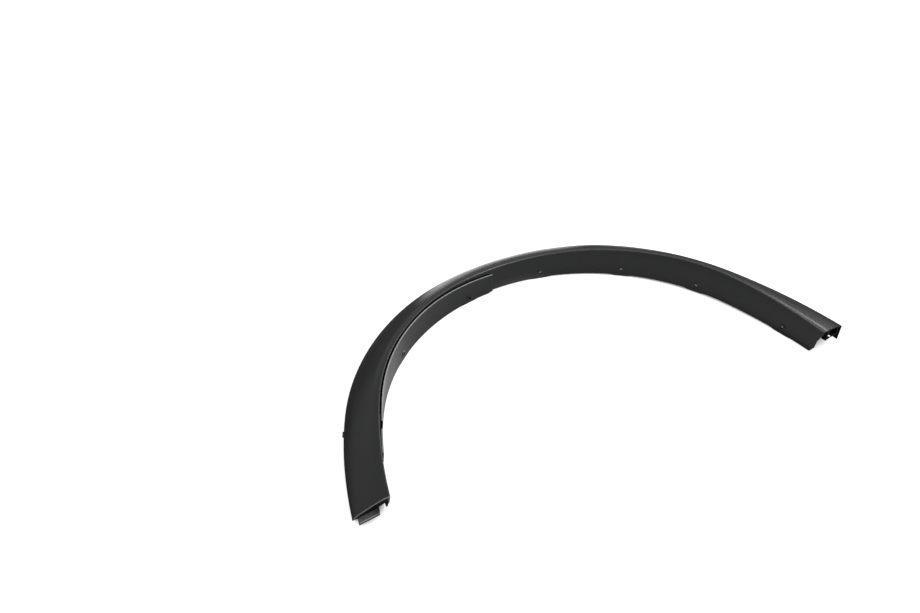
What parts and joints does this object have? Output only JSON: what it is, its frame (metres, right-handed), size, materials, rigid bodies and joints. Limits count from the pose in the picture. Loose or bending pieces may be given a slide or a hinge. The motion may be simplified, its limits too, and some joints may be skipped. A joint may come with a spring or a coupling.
{
  "type": "wheel arch trim",
  "caption": "Unpainted plastic trim that follows a car's wheel arch: a sloping outer face, an inner screw flange, an outer lip, and a separate liner strip on the flange.",
  "frame": {"origin": "middle of the trim's plan, at the level of the flange's lower edge that it rests on", "axes": "+X along the chord from the end with the steep face to the end with the level face, +Y from the leg ends towards the top of the arch, +Z out of the car, up as it lies"},
  "size_m": [1.0132, 0.502, 0.0713],
  "materials": {
    "trim_black": "satin, unpainted",
    "strip_black": "satin, unpainted",
    "clip_white": "natural nylon"
  },
  "bodies": {
    "root": {"arch_moulding": "trim_black", "liner_strip": "strip_black", "push_clips": "clip_white"}
  },
  "joints": []
}
